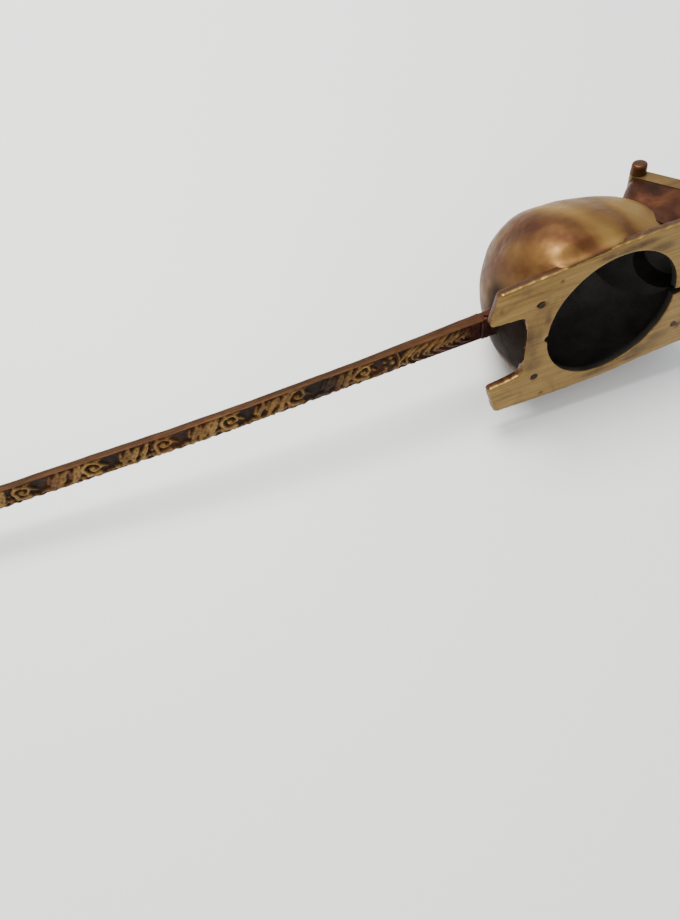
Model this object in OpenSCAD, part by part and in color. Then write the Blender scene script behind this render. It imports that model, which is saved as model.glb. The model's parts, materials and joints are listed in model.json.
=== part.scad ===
// Hand-held brass censer: an egg-shaped fire bowl with a filed base plate, an inclined front
// plate with a hinged lid, and a long relief strip for a handle with a hanging ring.
// Every piece is drawn in the censer's own frame: the origin is the middle of the opening in
// the base plate, +Z is that plate's outward face and the handle runs along -X. resting() then
// lays the whole censer on its side, the way it lies on a table, with +Z up.

/* [Bowl] */
// Radius of the bowl's round cross-section
bowl_r = 21.6; // [20.6:0.1:22.6]
// Length of the bowl behind its widest section
bowl_tail = 15.2; // [14:0.1:17]
// Length of the bowl ahead of its widest section
bowl_nose = 33.6; // [32:0.1:35]
// Distance of the widest section behind the opening's middle
bowl_back = 8.6; // [7:0.1:10]
// Depth of the bowl's long axis below the face of the base plate
bowl_depth = 10.4; // [9.5:0.1:11.5]
// Wall of the casting
wall = 2.2; // [1.6:0.1:2.6]

/* [Base plate] */
// Thickness of the base plate
plate_t = 2; // [1.6:0.1:2.4]
// Half width of the base plate across the lugs
plate_half_w = 17.8; // [17:0.1:18.6]
// Radius of the bulge that the plate makes round its opening
plate_bulge_r = 19.1; // [18.7:0.1:20]
// Radius of the large opening
opening_r = 16; // [14:0.1:16.4]
// Reach of the lugs from the opening's middle, at their inner corners
lug_reach = 30.4; // [29:0.1:32]
// Reach of the lugs at their outer corners
lug_corner = 28.5; // [27:0.1:29]
// Reach of the bottom of the notch between two lugs
notch_reach = 21.6; // [20.6:0.1:22.6]
// Half width of the notch at its bottom
notch_half_w = 8.5; // [7:0.1:9]
// Radius of the pins that hold the base plate
plate_pin_r = 0.8; // [0.6:0.1:0.9]

/* [Front plate and lid] */
// Lean of the front plate away from square to the base plate
front_lean = 30; // [28:1:32]
// Distance of the front plate's outer face from the opening's middle
front_reach = 27.2; // [27:0.1:27.6]
// Thickness of the front plate
front_t = 3.4; // [3:0.1:4]
// Half width of the front plate
front_half_w = 18; // [17:0.1:18.6]
// Radius of the front mouth
mouth_r = 6.5; // [5:0.1:6.8]
// Radius of the hinge knuckles
knuckle_r = 1.8; // [1.6:0.1:2]
// Radius of the hinge pin
hinge_pin_r = 1; // [0.8:0.1:1.1]
// How far each rounded pin head stands out of the front plate
pin_head = 2.4; // [1.6:0.1:3]
// Radius of the lid
lid_r = 8.6; // [8:0.1:9]
// Thickness of the lid
lid_t = 1.2; // [1:0.1:1.6]
// Rise of the lid's crown
lid_crown = 2.6; // [1.5:0.1:3.5]

/* [Handle] */
// Length of the relief strip
strip_l = 196; // [150:1:220]
// Width of the strip
strip_w = 6; // [5:0.1:7]
// Thickness of the strip
strip_t = 2.4; // [2:0.1:3]
// Extra thickness of the strip at its root
root_t = 1.2; // [0.6:0.1:1.6]
// Depth of the strip's relief face below the face of the base plate
strip_depth = 9.2; // [8.8:0.1:9.6]
// Backward bend of the strip's outer part
strip_bend = 2.3; // [0:0.1:4]
// Outer radius of the hanging eye
eye_outer_r = 4.6; // [4.2:0.1:5.2]
// Radius of the hole in the hanging eye
eye_r = 2.3; // [2.1:0.1:2.4]
// Mean radius of the hanging ring
ring_r = 6.5; // [6:0.1:8]
// Radius of the ring's wire
wire_r = 1; // [0.8:0.1:1.2]

/* [Resting pose] */
// Roll of the base plate away from upright, as the censer lies on its side
rest_roll = 19.4; // [15:0.1:24]
// Droop of the handle towards the table
rest_droop = 3.9; // [3:0.1:5]
// Droop of the hanging ring below the handle's line
ring_droop = 7; // [0:1:20]

/* [Hidden] */

$fn = 96;
small_fn = 48;
profile_steps = 40;
far = 120;

brass = "#b08d4a";
filed_brass = "#c9ae66";
dark_brass = "#7c5a34";
copper_brown = "#8a5638";

// Middle of the widest section of the bowl
bowl_mid = [-bowl_back, 0, -bowl_depth];
// Half width of the nicks at the two ends of the opening
nick_r = 0.7;
// Places in the front plate's own frame: local +X is its outward face, +Z runs down the plate
front_top = -11.7;
front_bottom = 11.3;
mouth_drop = 1;
hinge_drop = front_top + knuckle_r;
hinge_sink = 1.3;
knuckle_split = 7.6;
knuckle_gap = 0.25;
running_gap = 0.05;
lid_lift = 0.15;
// Rivets that hold the front plate to its collar
rivet_r = 0.9;
rivet_l = 5.2;
// The collar's foot, behind the front plate
collar_depth = 11;
collar_inset = 2.2;
// Stations along the handle, from the opening's middle
socket_front = -19;
strip_start = -27;
tenon_l = 4;
root_l = 40;
bend_start = -80;
bend_l = 24;
strip_end = strip_start - strip_l;
// The finial's sleeve over the strip, and the eye's middle beyond the strip's end
finial_sleeve_l = 5.5;
eye_offset = 6.5;
// Rivets through the strip at its two ends
strip_rivet_r = 0.7;
socket_rivet_x = strip_start + 1.5;
finial_rivet_x = strip_end + 2.4;
// Pins that hold the base plate to the bowl's rim
plate_pin_l = plate_t + 1.4;
pin_spots = [for (sx = [-1, 1], sy = [-1, 1]) [sx * 18.4, sy * 10.6]];
// Brings the middle of the resting footprint to the origin, with the table at Z = 0
rest_shift = [105, -12.5, 25.69];

// Half section of an egg about its long axis, as points [radius, station]
function egg_section(r, tail, nose) = [
    for (i = [0 : profile_steps])
        let (a = -90 + 180 * i / profile_steps)
        [max(r * cos(a), 0), sin(a) * (a < 0 ? tail : nose)]];

// Depth of the strip's relief face at station x: straight, then bent gently backward
function face_z(x) =
    let (run = bend_start - x, turn = min(max(run, 0), bend_l))
    -strip_depth - tan(strip_bend) * (turn * turn / (2 * bend_l) + max(run - bend_l, 0));

// Thickness of the strip at station x, fuller towards the root
function strip_thick(x) = strip_t + root_t * pow(max(0, 1 - (strip_start - x) / root_l), 1.5);

module resting() {
    translate(rest_shift)
        rotate([0, -rest_droop, 0])
            rotate([90 - rest_roll, 0, 0])
                children();
}

// Frame of the front plate: origin on its back face, +X outward, +Z down the plate
module on_front(out = 0) {
    rotate([0, front_lean, 0])
        translate([front_reach - front_t + out, 0, 0])
            children();
}

module egg(inset = 0) {
    translate(bowl_mid)
        rotate([0, 90, 0])
            rotate_extrude()
                polygon(egg_section(bowl_r - inset, bowl_tail - inset, bowl_nose - inset));
}

module below_plate() {
    translate([-far, -far, -plate_t - 2 * far])
        cube([2 * far, 2 * far, 2 * far]);
}

module behind_front(depth = 0) {
    on_front(-depth)
        translate([-2 * far, -far, -far])
            cube([2 * far, 2 * far, 2 * far]);
}

module mouth_bore(r, from, to) {
    on_front()
        translate([from, 0, mouth_drop])
            rotate([0, 90, 0])
                cylinder(r = r, h = to - from);
}

module plate_pin(r, depth) {
    for (spot = pin_spots)
        translate([spot[0], spot[1], -depth])
            cylinder(r = r, h = depth, $fn = small_fn);
}

module socket_block(grow = 0) {
    translate([strip_start, -strip_w / 2 - 0.4 - grow, -strip_depth - strip_t - root_t - 0.5 - grow])
        cube([socket_front - strip_start, strip_w + 0.8 + 2 * grow, strip_t + root_t + 1.4 + 2 * grow]);
}

module strip_tenon(slack = 0) {
    translate([strip_start - 1, -strip_w / 2 + 1 - slack, -strip_depth - 2.6 - slack])
        cube([tenon_l + 1 + slack, strip_w - 2 + 2 * slack, 1.8 + 2 * slack]);
}

module bowl_shell() {
    color(brass)
        difference() {
            intersection() {
                egg();
                below_plate();
                behind_front();
            }
            // the hollow stops a wall's thickness short of the front plate
            intersection() {
                egg(wall);
                behind_front(wall);
            }
            mouth_bore(mouth_r, -collar_depth - 2, 1);
            plate_pin(plate_pin_r, plate_pin_l);
            strip_tenon();
        }
}

// Outline of the plate with its four lugs, without the bulge round the opening
function lug_corners(sx, sy) = [
    [sx * lug_corner, sy * plate_half_w],
    [sx * lug_reach, sy * (notch_half_w + 1)],
    [sx * notch_reach, sy * notch_half_w]];

function flipped(points) = [for (i = [len(points) - 1 : -1 : 0]) points[i]];

module lug_outline() {
    polygon(concat(
        lug_corners(1, 1), flipped(lug_corners(1, -1)),
        lug_corners(-1, -1), flipped(lug_corners(-1, 1))));
}

module base_plate() {
    color(filed_brass)
        translate([0, 0, -plate_t])
            difference() {
                union() {
                    linear_extrude(plate_t)
                        lug_outline();
                    cylinder(r = plate_bulge_r, h = plate_t);
                }
                translate([0, 0, -1])
                    cylinder(r = opening_r, h = plate_t + 2);
                // locating nicks on the centre line of the casting
                translate([-opening_r - 0.2, 0, -1])
                    cylinder(r = nick_r, h = plate_t + 2, $fn = small_fn);
                translate([opening_r - 1, -nick_r, -1])
                    cube([3.4, 2 * nick_r, plate_t + 2]);
                translate([0, 0, plate_t])
                    plate_pin(plate_pin_r, plate_t + 1);
            }
}

module plate_pins() {
    color(dark_brass)
        plate_pin(plate_pin_r, plate_pin_l);
}

module collar_form(inset = 0) {
    hull() {
        on_front(-0.5)
            translate([0, -front_half_w + 1 + inset, front_top + 1 + inset])
                cube([0.5, 2 * (front_half_w - 1 - inset), front_bottom - front_top - 2 - 2 * inset]);
        on_front(-collar_depth)
            translate([0, -front_half_w + collar_inset + inset, front_top + collar_inset + inset])
                cube([0.5, 2 * (front_half_w - collar_inset - inset),
                    front_bottom - front_top - 2 * collar_inset - 2 * inset]);
    }
}

module front_collar() {
    color(dark_brass)
        difference() {
            intersection() {
                collar_form();
                below_plate();
            }
            egg();
            mouth_bore(mouth_r, -collar_depth - 2, 1);
            front_rivet(rivet_r, rivet_l);
            plate_pin(plate_pin_r, plate_pin_l);
        }
}

module front_plate() {
    color(brass)
        difference() {
            union() {
                on_front()
                    difference() {
                        translate([0, -front_half_w, front_top + knuckle_r])
                            cube([front_t, 2 * front_half_w, front_bottom - front_top - knuckle_r]);
                        // seat for the lid's knuckle
                        translate([-1, -knuckle_split, front_top - 1])
                            cube([front_t + 2, 2 * knuckle_split, 2 * knuckle_r + 1.4]);
                    }
                for (s = [-1, 1])
                    on_front(front_t - hinge_sink)
                        translate([0, s * (knuckle_split + front_half_w) / 2, hinge_drop])
                            rotate([90, 0, 0])
                                cylinder(r = knuckle_r, h = front_half_w - knuckle_split,
                                    center = true, $fn = small_fn);
            }
            mouth_bore(mouth_r, -1, front_t + 1);
            on_front(front_t - hinge_sink)
                translate([0, 0, hinge_drop])
                    rotate([90, 0, 0])
                        cylinder(r = hinge_pin_r, h = 3 * front_half_w, center = true, $fn = small_fn);
            front_rivet(rivet_r, rivet_l);
        }
}

module front_rivet(r, depth) {
    for (s = [-1, 1])
        on_front(front_t - depth)
            translate([0, s * (front_half_w - 3.4), front_bottom - 3.6])
                rotate([0, 90, 0])
                    cylinder(r = r, h = depth, $fn = small_fn);
}

module front_rivets() {
    color(copper_brown)
        front_rivet(rivet_r, rivet_l);
}

module hinge_pin() {
    color(copper_brown)
        on_front(front_t - hinge_sink)
            translate([0, 0, hinge_drop])
                rotate([90, 0, 0])
                    union() {
                        cylinder(r = hinge_pin_r, h = 2 * front_half_w, center = true, $fn = small_fn);
                        for (s = [0, 1])
                            mirror([0, 0, s])
                                translate([0, 0, front_half_w])
                                    pin_end();
                    }
}

module pin_end() {
    round_r = 0.5;
    rotate_extrude($fn = small_fn)
        polygon([
            [0, 0],
            [knuckle_r, 0],
            [knuckle_r, pin_head - round_r],
            [knuckle_r - 0.3 * round_r, pin_head - 0.3 * round_r],
            [knuckle_r - round_r, pin_head],
            [0, pin_head]]);
}

// The lid's crown, as a thin cap of a sphere with a flat rim
module lid_cap() {
    flat_r = lid_r - 1.6;
    cap_r = (flat_r * flat_r + lid_crown * lid_crown) / (2 * lid_crown);
    steps = 6;
    half = asin(flat_r / cap_r);
    rotate_extrude()
        polygon(concat(
            [for (i = [0 : steps]) let (a = half * i / steps)
                [(cap_r + lid_t) * sin(a) * flat_r / ((cap_r + lid_t) * sin(half)),
                    (cap_r + lid_t) * cos(a) - (cap_r + lid_t) * cos(half) + lid_t]],
            [[lid_r, lid_t], [lid_r, 0]],
            [for (i = [steps : -1 : 0]) let (a = half * i / steps)
                [cap_r * sin(a), cap_r * cos(a) - cap_r * cos(half)]]));
}

module front_lid() {
    color(brass)
        on_front(front_t + lid_lift)
            difference() {
                union() {
                    translate([0, 0, mouth_drop])
                        rotate([0, 90, 0])
                            lid_cap();
                    // tongue back to the knuckle
                    translate([0, -4, hinge_drop])
                        cube([lid_t, 8, mouth_drop - hinge_drop - lid_r + 1.6]);
                    translate([-hinge_sink - lid_lift, 0, hinge_drop])
                        rotate([90, 0, 0])
                            cylinder(r = knuckle_r, h = 2 * (knuckle_split - knuckle_gap),
                                center = true, $fn = small_fn);
                }
                translate([-hinge_sink - lid_lift, 0, hinge_drop])
                    rotate([90, 0, 0])
                        cylinder(r = hinge_pin_r + running_gap, h = 3 * knuckle_split,
                            center = true, $fn = small_fn);
                translate([-1, 0, mouth_drop])
                    rotate([0, 90, 0])
                        cylinder(r = 1, h = lid_crown + lid_t + 3, $fn = small_fn);
            }
}

module lid_knob() {
    color(filed_brass)
        on_front(front_t + lid_lift + lid_crown)
            translate([0, 0, mouth_drop])
                rotate([0, 90, 0])
                    rotate_extrude($fn = small_fn)
                        polygon([
                            [0, -0.6], [1, -0.6], [1, lid_t], [2, lid_t], [2, lid_t + 0.6],
                            [1.1, lid_t + 1.2], [1, lid_t + 2], [1.7, lid_t + 2.8],
                            [1.9, lid_t + 3.6], [1.5, lid_t + 4.4], [0, lid_t + 4.8]]);
}

module rivet_holes(x, r, h) {
    translate([x, 0, face_z(x) - 1.7])
        rotate([90, 0, 0])
            cylinder(r = r, h = h, center = true, $fn = small_fn);
}

module handle_socket() {
    color(copper_brown)
        difference() {
            socket_block();
            egg();
            strip_tenon();
            rivet_holes(socket_rivet_x, strip_rivet_r, 3 * strip_w);
        }
}

module handle_strip() {
    steps = 28;
    xs = [for (i = [0 : steps]) strip_start - strip_l * i / steps];
    color(dark_brass)
        difference() {
            union() {
                translate([0, strip_w / 2, 0])
                    rotate([90, 0, 0])
                        linear_extrude(strip_w)
                            polygon(concat(
                                [for (x = xs) [x, face_z(x)]],
                                [for (i = [steps : -1 : 0]) [xs[i], face_z(xs[i]) - strip_thick(xs[i])]]));
                strip_tenon();
            }
            rivet_holes(socket_rivet_x, strip_rivet_r, 3 * strip_w);
            rivet_holes(finial_rivet_x, strip_rivet_r, 3 * strip_w);
        }
}

module handle_rivets() {
    color(brass) {
        rivet_holes(socket_rivet_x, strip_rivet_r, strip_w + 0.8);
        rivet_holes(finial_rivet_x, strip_rivet_r, strip_w + 1.6);
    }
}

module finial_frame() {
    translate([strip_end, 0, face_z(strip_end) - strip_t / 2])
        rotate([0, -strip_bend, 0])
            children();
}

module handle_finial() {
    collar_w = strip_w + 1.6;
    collar_t = strip_t + 1.6;
    eye_t = strip_t + 0.4;
    color(brass)
        difference() {
            finial_frame() {
                difference() {
                    union() {
                        translate([-1.5, -collar_w / 2, -collar_t / 2])
                            cube([finial_sleeve_l, collar_w, collar_t]);
                        translate([-eye_offset, 0, -eye_t / 2])
                            cylinder(r = eye_outer_r, h = eye_t);
                        translate([-3.5, -strip_w / 2, -eye_t / 2])
                            cube([3, strip_w, eye_t]);
                    }
                    translate([-eye_offset, 0, -strip_t])
                        cylinder(r = eye_r, h = 2 * strip_t, $fn = small_fn);
                    translate([0, -strip_w / 2, -strip_t / 2])
                        cube([far, strip_w, strip_t]);
                }
            }
            rivet_holes(finial_rivet_x, strip_rivet_r, 3 * strip_w);
        }
}

module hanging_ring() {
    color(dark_brass)
        finial_frame()
            translate([-eye_offset, 0, 0])
                rotate([0, 0, ring_droop])
                    translate([-ring_r, 0, 0])
                        rotate([90, 0, 0])
                            rotate_extrude()
                                translate([ring_r, 0])
                                    circle(r = wire_r, $fn = small_fn);
}

resting() bowl_shell();
resting() base_plate();
resting() plate_pins();
resting() front_collar();
resting() front_plate();
resting() front_rivets();
resting() hinge_pin();
resting() front_lid();
resting() lid_knob();
resting() handle_socket();
resting() handle_strip();
resting() handle_rivets();
resting() handle_finial();
resting() hanging_ring();
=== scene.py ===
import json
import math
import bmesh
import bpy
import numpy as np
from mathutils import Matrix, Vector, geometry

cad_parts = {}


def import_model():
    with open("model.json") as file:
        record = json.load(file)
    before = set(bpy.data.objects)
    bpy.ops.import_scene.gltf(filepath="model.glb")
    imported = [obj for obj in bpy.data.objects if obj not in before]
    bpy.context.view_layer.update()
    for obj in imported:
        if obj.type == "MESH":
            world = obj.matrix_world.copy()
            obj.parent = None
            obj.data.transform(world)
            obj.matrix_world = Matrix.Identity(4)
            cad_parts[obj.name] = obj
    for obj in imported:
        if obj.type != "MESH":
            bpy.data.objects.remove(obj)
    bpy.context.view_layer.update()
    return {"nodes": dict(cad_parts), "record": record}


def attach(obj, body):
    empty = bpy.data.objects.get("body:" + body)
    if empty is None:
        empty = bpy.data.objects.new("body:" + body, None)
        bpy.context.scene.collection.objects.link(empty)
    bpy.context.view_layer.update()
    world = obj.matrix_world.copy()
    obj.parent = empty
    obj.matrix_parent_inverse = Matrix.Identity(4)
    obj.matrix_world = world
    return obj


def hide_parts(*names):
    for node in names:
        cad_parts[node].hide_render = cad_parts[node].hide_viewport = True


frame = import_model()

RECORD = frame["record"]
MOUNT = {m["name"]: m for m in RECORD["mounts"]}
JOINT = {j["name"]: j for j in RECORD["behaviour"]["joints"]}
MM = 0.001

# ---------------------------------------------------------------- the censer's own frame
# origin in the middle of the base opening's face, +Z out of the plate, handle along -X
AZ = Vector(MOUNT["base_opening"]["axis"]).normalized()
AY = Vector(JOINT["lid_hinge"]["axis"]).normalized()
AX = AY.cross(AZ).normalized()
AY = AZ.cross(AX)
OPEN_R = MOUNT["base_opening"]["dims"]["r_mm"]
PLATE_T = MOUNT["base_opening"]["dims"]["length_mm"]
ORIGIN = Vector(MOUNT["base_opening"]["pos_m"]) + AZ * (PLATE_T / 2 * MM)
OWN = Matrix.Translation(ORIGIN) @ Matrix((AX, AY, AZ)).transposed().to_4x4()
INV = OWN.inverted()


def own_point(p):
    return np.array(INV @ Vector(p)) / MM


def own_box(name):
    co = np.array([INV @ v.co for v in frame["nodes"][name].data.vertices]) / MM
    return co.min(0), co.max(0)


PIECES = []  # every piece made here, still in the own frame

# ---------------------------------------------------------------- camera and light

CAMERA_AT = (-84.4, 110.1, 98.0)  # own frame, mm
CAMERA_RIGHT = (0.929, -0.144, 0.340)
CAMERA_DOWN = (-0.354, -0.609, 0.710)


def camera():
    right = Vector(CAMERA_RIGHT).normalized()
    down = Vector(CAMERA_DOWN)
    down = (down - right * down.dot(right)).normalized()
    back = -(right.cross(down))
    turn = Matrix((right, -down, back)).transposed().to_4x4()
    data = bpy.data.cameras.new("camera")
    data.sensor_fit = "VERTICAL"
    data.sensor_height = 36
    data.lens = 27.09
    data.clip_start = 0.005
    data.clip_end = 20
    cam = bpy.data.objects.new("camera", data)
    bpy.context.scene.collection.objects.link(cam)
    cam.matrix_world = OWN @ Matrix.Translation(Vector(CAMERA_AT) * MM) @ turn
    bpy.context.scene.camera = cam


def area_light(name, at, to, size, power, color=(1, 1, 1)):
    data = bpy.data.lights.new(name, "AREA")
    data.shape = "DISK"
    data.size = size
    data.energy = power
    data.color = color
    lamp = bpy.data.objects.new(name, data)
    bpy.context.scene.collection.objects.link(lamp)
    lamp.location = at
    lamp.rotation_euler = (Vector(to) - Vector(at)).to_track_quat("-Z", "Y").to_euler()


def world():
    w = bpy.data.worlds.new("studio")
    bpy.context.scene.world = w
    w.use_nodes = True
    w.node_tree.nodes["Background"].inputs[0].default_value = (0.93, 0.97, 1.0, 1)
    w.node_tree.nodes["Background"].inputs[1].default_value = 0.9


# ---------------------------------------------------------------- node materials


class Nodes:
    """Short calls for building a material's node tree."""

    def __init__(self, name):
        self.mat = bpy.data.materials.new(name)
        self.mat.use_nodes = True
        self.tree = self.mat.node_tree
        self.bsdf = self.tree.nodes["Principled BSDF"]
        turn = self.tree.nodes.new("ShaderNodeMapping")  # into the censer's own frame
        turn.inputs["Location"].default_value = INV.translation
        turn.inputs["Rotation"].default_value = INV.to_euler("XYZ")
        self.link(self.tree.nodes.new("ShaderNodeTexCoord").outputs["Object"], turn.inputs["Vector"])
        self.coord = turn.outputs[0]

    def link(self, a, b):
        self.tree.links.new(a, b)

    def put(self, socket, value):
        if isinstance(value, (int, float, tuple)):
            socket.default_value = value
        else:
            self.link(value, socket)

    def stretch(self, scale, turn=(0, 0, 0)):
        n = self.tree.nodes.new("ShaderNodeMapping")
        self.link(self.coord, n.inputs["Vector"])
        n.inputs["Scale"].default_value = scale
        n.inputs["Rotation"].default_value = turn
        return n.outputs[0]

    def noise(self, scale, detail=4, rough=0.55, vector=None, warp=0.0):
        n = self.tree.nodes.new("ShaderNodeTexNoise")
        self.link(vector or self.coord, n.inputs["Vector"])
        n.inputs["Scale"].default_value = scale
        n.inputs["Detail"].default_value = detail
        n.inputs["Roughness"].default_value = rough
        n.inputs["Distortion"].default_value = warp
        return n.outputs["Fac"]

    def cells(self, scale):
        n = self.tree.nodes.new("ShaderNodeTexVoronoi")
        self.link(self.coord, n.inputs["Vector"])
        n.inputs["Scale"].default_value = scale
        return n.outputs["Distance"]

    def attr(self, name):
        n = self.tree.nodes.new("ShaderNodeAttribute")
        n.attribute_name = name
        return n.outputs["Fac"]

    def span(self, value, a, b, c=0.0, d=1.0):
        n = self.tree.nodes.new("ShaderNodeMapRange")
        n.inputs["From Min"].default_value = a
        n.inputs["From Max"].default_value = b
        n.inputs["To Min"].default_value = c
        n.inputs["To Max"].default_value = d
        self.link(value, n.inputs["Value"])
        return n.outputs[0]

    def math(self, op, a, b=0.0, clamp=False):
        n = self.tree.nodes.new("ShaderNodeMath")
        n.operation = op
        n.use_clamp = clamp
        self.put(n.inputs[0], a)
        self.put(n.inputs[1], b)
        return n.outputs[0]

    def ramp(self, value, stops):
        n = self.tree.nodes.new("ShaderNodeValToRGB")
        while len(n.color_ramp.elements) < len(stops):
            n.color_ramp.elements.new(0.5)
        for e, (at, col) in zip(n.color_ramp.elements, stops):
            e.position = at
            e.color = (*(hexed(col) if isinstance(col, str) else col), 1)
        self.link(value, n.inputs[0])
        return n.outputs[0]

    def mix(self, fac, a, b, kind="MIX"):
        n = self.tree.nodes.new("ShaderNodeMix")
        n.data_type = "RGBA"
        n.blend_type = kind
        self.put(n.inputs[0], fac)
        for k, v in ((6, a), (7, b)):
            v = hexed(v) if isinstance(v, str) else v
            self.put(n.inputs[k], (*v, 1) if isinstance(v, tuple) else v)
        return n.outputs[2]

    def times(self, a, b, clamp=False):
        return self.math("MULTIPLY", a, b, clamp)

    def bump(self, height, strength, distance, below=None):
        n = self.tree.nodes.new("ShaderNodeBump")
        n.inputs["Strength"].default_value = strength
        n.inputs["Distance"].default_value = distance
        self.link(height, n.inputs["Height"])
        if below is not None:
            self.link(below, n.inputs["Normal"])
        return n.outputs[0]

    def finish(self, color, rough, metal, normal, gain=None):
        if gain:
            color = self.mix(1.0, color, gain, "MULTIPLY")
            self.bsdf.inputs["Specular IOR Level"].default_value = 0.3
        self.put(self.bsdf.inputs["Base Color"], color)
        self.put(self.bsdf.inputs["Roughness"], rough)
        self.bsdf.inputs["Metallic"].default_value = metal
        self.link(normal, self.bsdf.inputs["Normal"])
        return self.mat


GAIN = (0.5, 0.42, 0.29)  # takes a colour as seen to the metal's own colour
METAL = 0.7


def hexed(code):
    """An sRGB hex colour as linear values, times GAIN."""
    out = []
    for k in (0, 2, 4):
        c = int(code[k:k + 2], 16) / 255
        out.append(c / 12.92 if c <= 0.04045 else ((c + 0.055) / 1.055) ** 2.4)
    return tuple(c * g for c, g in zip(out, GAIN))


def mat_dome():
    n = Nodes("dome_brass")
    # the tone attribute holds random tone plus painted shade in the hollows and a painted highlight along the ridges
    tone_and_painted_light = n.math("ADD", n.attr("tone_and_painted_light"), n.span(n.noise(85, 5, 0.6, warp=0.6), 0.3, 0.7, -0.17, 0.17))
    base = n.ramp(tone_and_painted_light, [(0.0, "ead093"), (0.3, "c8a56c"), (0.62, "946846"), (1.0, "744833")])
    olive = n.span(n.noise(60, 3, 0.5, n.stretch((1, 1, 1.4), (0.4, 0.2, 0.7))), 0.5, 0.68)
    base = n.mix(n.times(olive, 0.5), base, "96804f")
    # a grime line at the seam and painted shade behind the plate's notch darken the dome; the noise adds dirt specks
    grime_and_shade = n.math("ADD", n.attr("grime_and_shade"), n.span(n.noise(420, 6, 0.7), 0.62, 0.8, 0, 0.35), clamp=True)
    base = n.mix(grime_and_shade, base, "25170e")
    pits = n.span(n.cells(330), 0.03, 0.11, 1, 0)
    pits = n.times(pits, n.span(n.noise(120, 2), 0.56, 0.64))
    base = n.mix(n.times(pits, 0.75), base, "4a2a1c")
    rough = n.span(n.noise(260, 4), 0.35, 0.7, 0.44, 0.62)
    rough = n.math("ADD", rough, n.times(n.attr("grime_and_shade"), 0.28), clamp=True)
    b = n.bump(n.noise(700, 6, 0.65), 0.22, 0.00012)
    b = n.bump(n.noise(150, 3, 0.5), 0.09, 0.0005, b)
    b = n.bump(n.times(pits, -1.0), 0.6, 0.0002, b)
    return n.finish(base, rough, METAL, b, (0.56, 0.53, 0.455))


def mat_inside_shade():
    # painted shade: a near-black material for the insides, which lie in shade
    n = Nodes("painted_shade_inside")
    base = n.ramp(n.noise(140, 5, 0.6), [
        (0.35, (0.018, 0.016, 0.0145)), (0.6, (0.04, 0.034, 0.029)), (0.8, (0.062, 0.048, 0.038))])
    b = n.bump(n.noise(500, 5, 0.65), 0.3, 0.0002)
    return n.finish(base, n.span(n.noise(200, 3), 0.3, 0.7, 0.5, 0.75), 0.35, b)


def mat_filed(name="filed_brass", stain=True, gain=(0.8, 0.79, 0.76)):
    n = Nodes(name)
    streak = n.noise(1, 6, 0.7, n.stretch((70, 2600, 70), (0, 0, 0.05)))
    wide = n.noise(1, 4, 0.6, n.stretch((45, 620, 45), (0, 0, -0.06)))
    base = n.ramp(n.math("ADD", n.times(streak, 0.6), n.times(wide, 0.4)),
                  [(0.3, "8a6f48"), (0.44, "b0955f"), (0.56, "cdb47c"), (0.7, "e6d19c")])
    blotch = n.span(n.noise(110, 5, 0.65, warp=0.8), 0.5, 0.72)
    base = n.mix(n.times(blotch, 0.6), base, "80604c")
    if stain:
        dark = n.times(n.attr("stain"), n.span(n.noise(300, 5, 0.7), 0.25, 0.6, 0.45, 1.1), clamp=True)
        base = n.mix(dark, base, "4c3733")
        base = n.mix(n.attr("side"), base, "5d2c20")
        bright = n.times(n.attr("rim"), n.span(n.noise(260, 4, 0.7), 0.5, 0.68, 0.0, 0.45))
        base = n.mix(bright, base, "e6cf92")
    rough = n.span(streak, 0.3, 0.7, 0.3, 0.5)
    b = n.bump(streak, 0.35, 0.00012)
    b = n.bump(n.noise(240, 5, 0.6), 0.28, 0.0003, b)
    return n.finish(base, rough, METAL, b, gain)


def mat_relief():
    n = Nodes("relief_brass")
    height = n.math("ADD", n.attr("relief"), n.span(n.noise(900, 5, 0.7), 0.3, 0.7, -0.12, 0.12))
    base = n.ramp(height, [(0.02, "24170e"), (0.32, "503820"), (0.62, "80653f"), (0.95, "b49868")])
    red = n.span(n.noise(75, 4, 0.6), 0.52, 0.66)
    base = n.mix(n.times(red, 0.45), base, "6e3c24")
    plain = n.ramp(n.noise(1, 5, 0.7, n.stretch((120, 900, 1400))), [(0.3, "382312"), (0.5, "50351e"), (0.7, "634527")])
    base = n.mix(n.attr("plain"), base, plain)
    maroon = n.ramp(n.noise(420, 5, 0.7), [(0.3, "2c120f"), (0.55, "4e231c"), (0.75, "6c3f31")])
    base = n.mix(n.attr("maroon"), base, maroon)
    # painted reflection: the dark patch on the worn part of the strip stands for a dark reflection
    base = n.mix(n.attr("dark"), base, "1c120d")
    rough = n.span(n.noise(600, 4), 0.3, 0.7, 0.34, 0.58)
    b = n.bump(n.noise(1300, 6, 0.7), 0.35, 0.00012)
    b = n.bump(n.noise(380, 4, 0.6), 0.3, 0.0003, b)
    return n.finish(base, rough, METAL, b, (1.25, 1.25, 1.2))


def mat_brown(name="brown_brass", pale="9c6c48", mid="7e5138", deep="4f2e20", gain=(0.45, 0.385, 0.32)):
    n = Nodes(name)
    base = n.ramp(n.noise(130, 5, 0.62, warp=0.5), [(0.3, deep), (0.5, mid), (0.68, pale)])
    fleck = n.span(n.noise(800, 4, 0.7), 0.6, 0.75)
    base = n.mix(n.times(fleck, 0.5), base, "2d1a12")
    base = n.mix(n.times(n.attr("rim"), n.span(n.noise(350, 4), 0.3, 0.6)), base, "bb9860")
    rough = n.span(n.noise(300, 4), 0.35, 0.7, 0.36, 0.58)
    b = n.bump(n.noise(650, 6, 0.65), 0.28, 0.00015)
    return n.finish(base, rough, METAL, b, gain)


def mat_floor():
    n = Nodes("table_white")
    base = n.ramp(n.noise(3, 3, 0.5), [(0.35, (0.73, 0.73, 0.71)), (0.65, (0.76, 0.76, 0.745))])
    b = n.bump(n.noise(60, 3, 0.5), 0.02, 0.001)
    return n.finish(base, 0.55, 0.0, b)


# ---------------------------------------------------------------- mesh helpers


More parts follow.
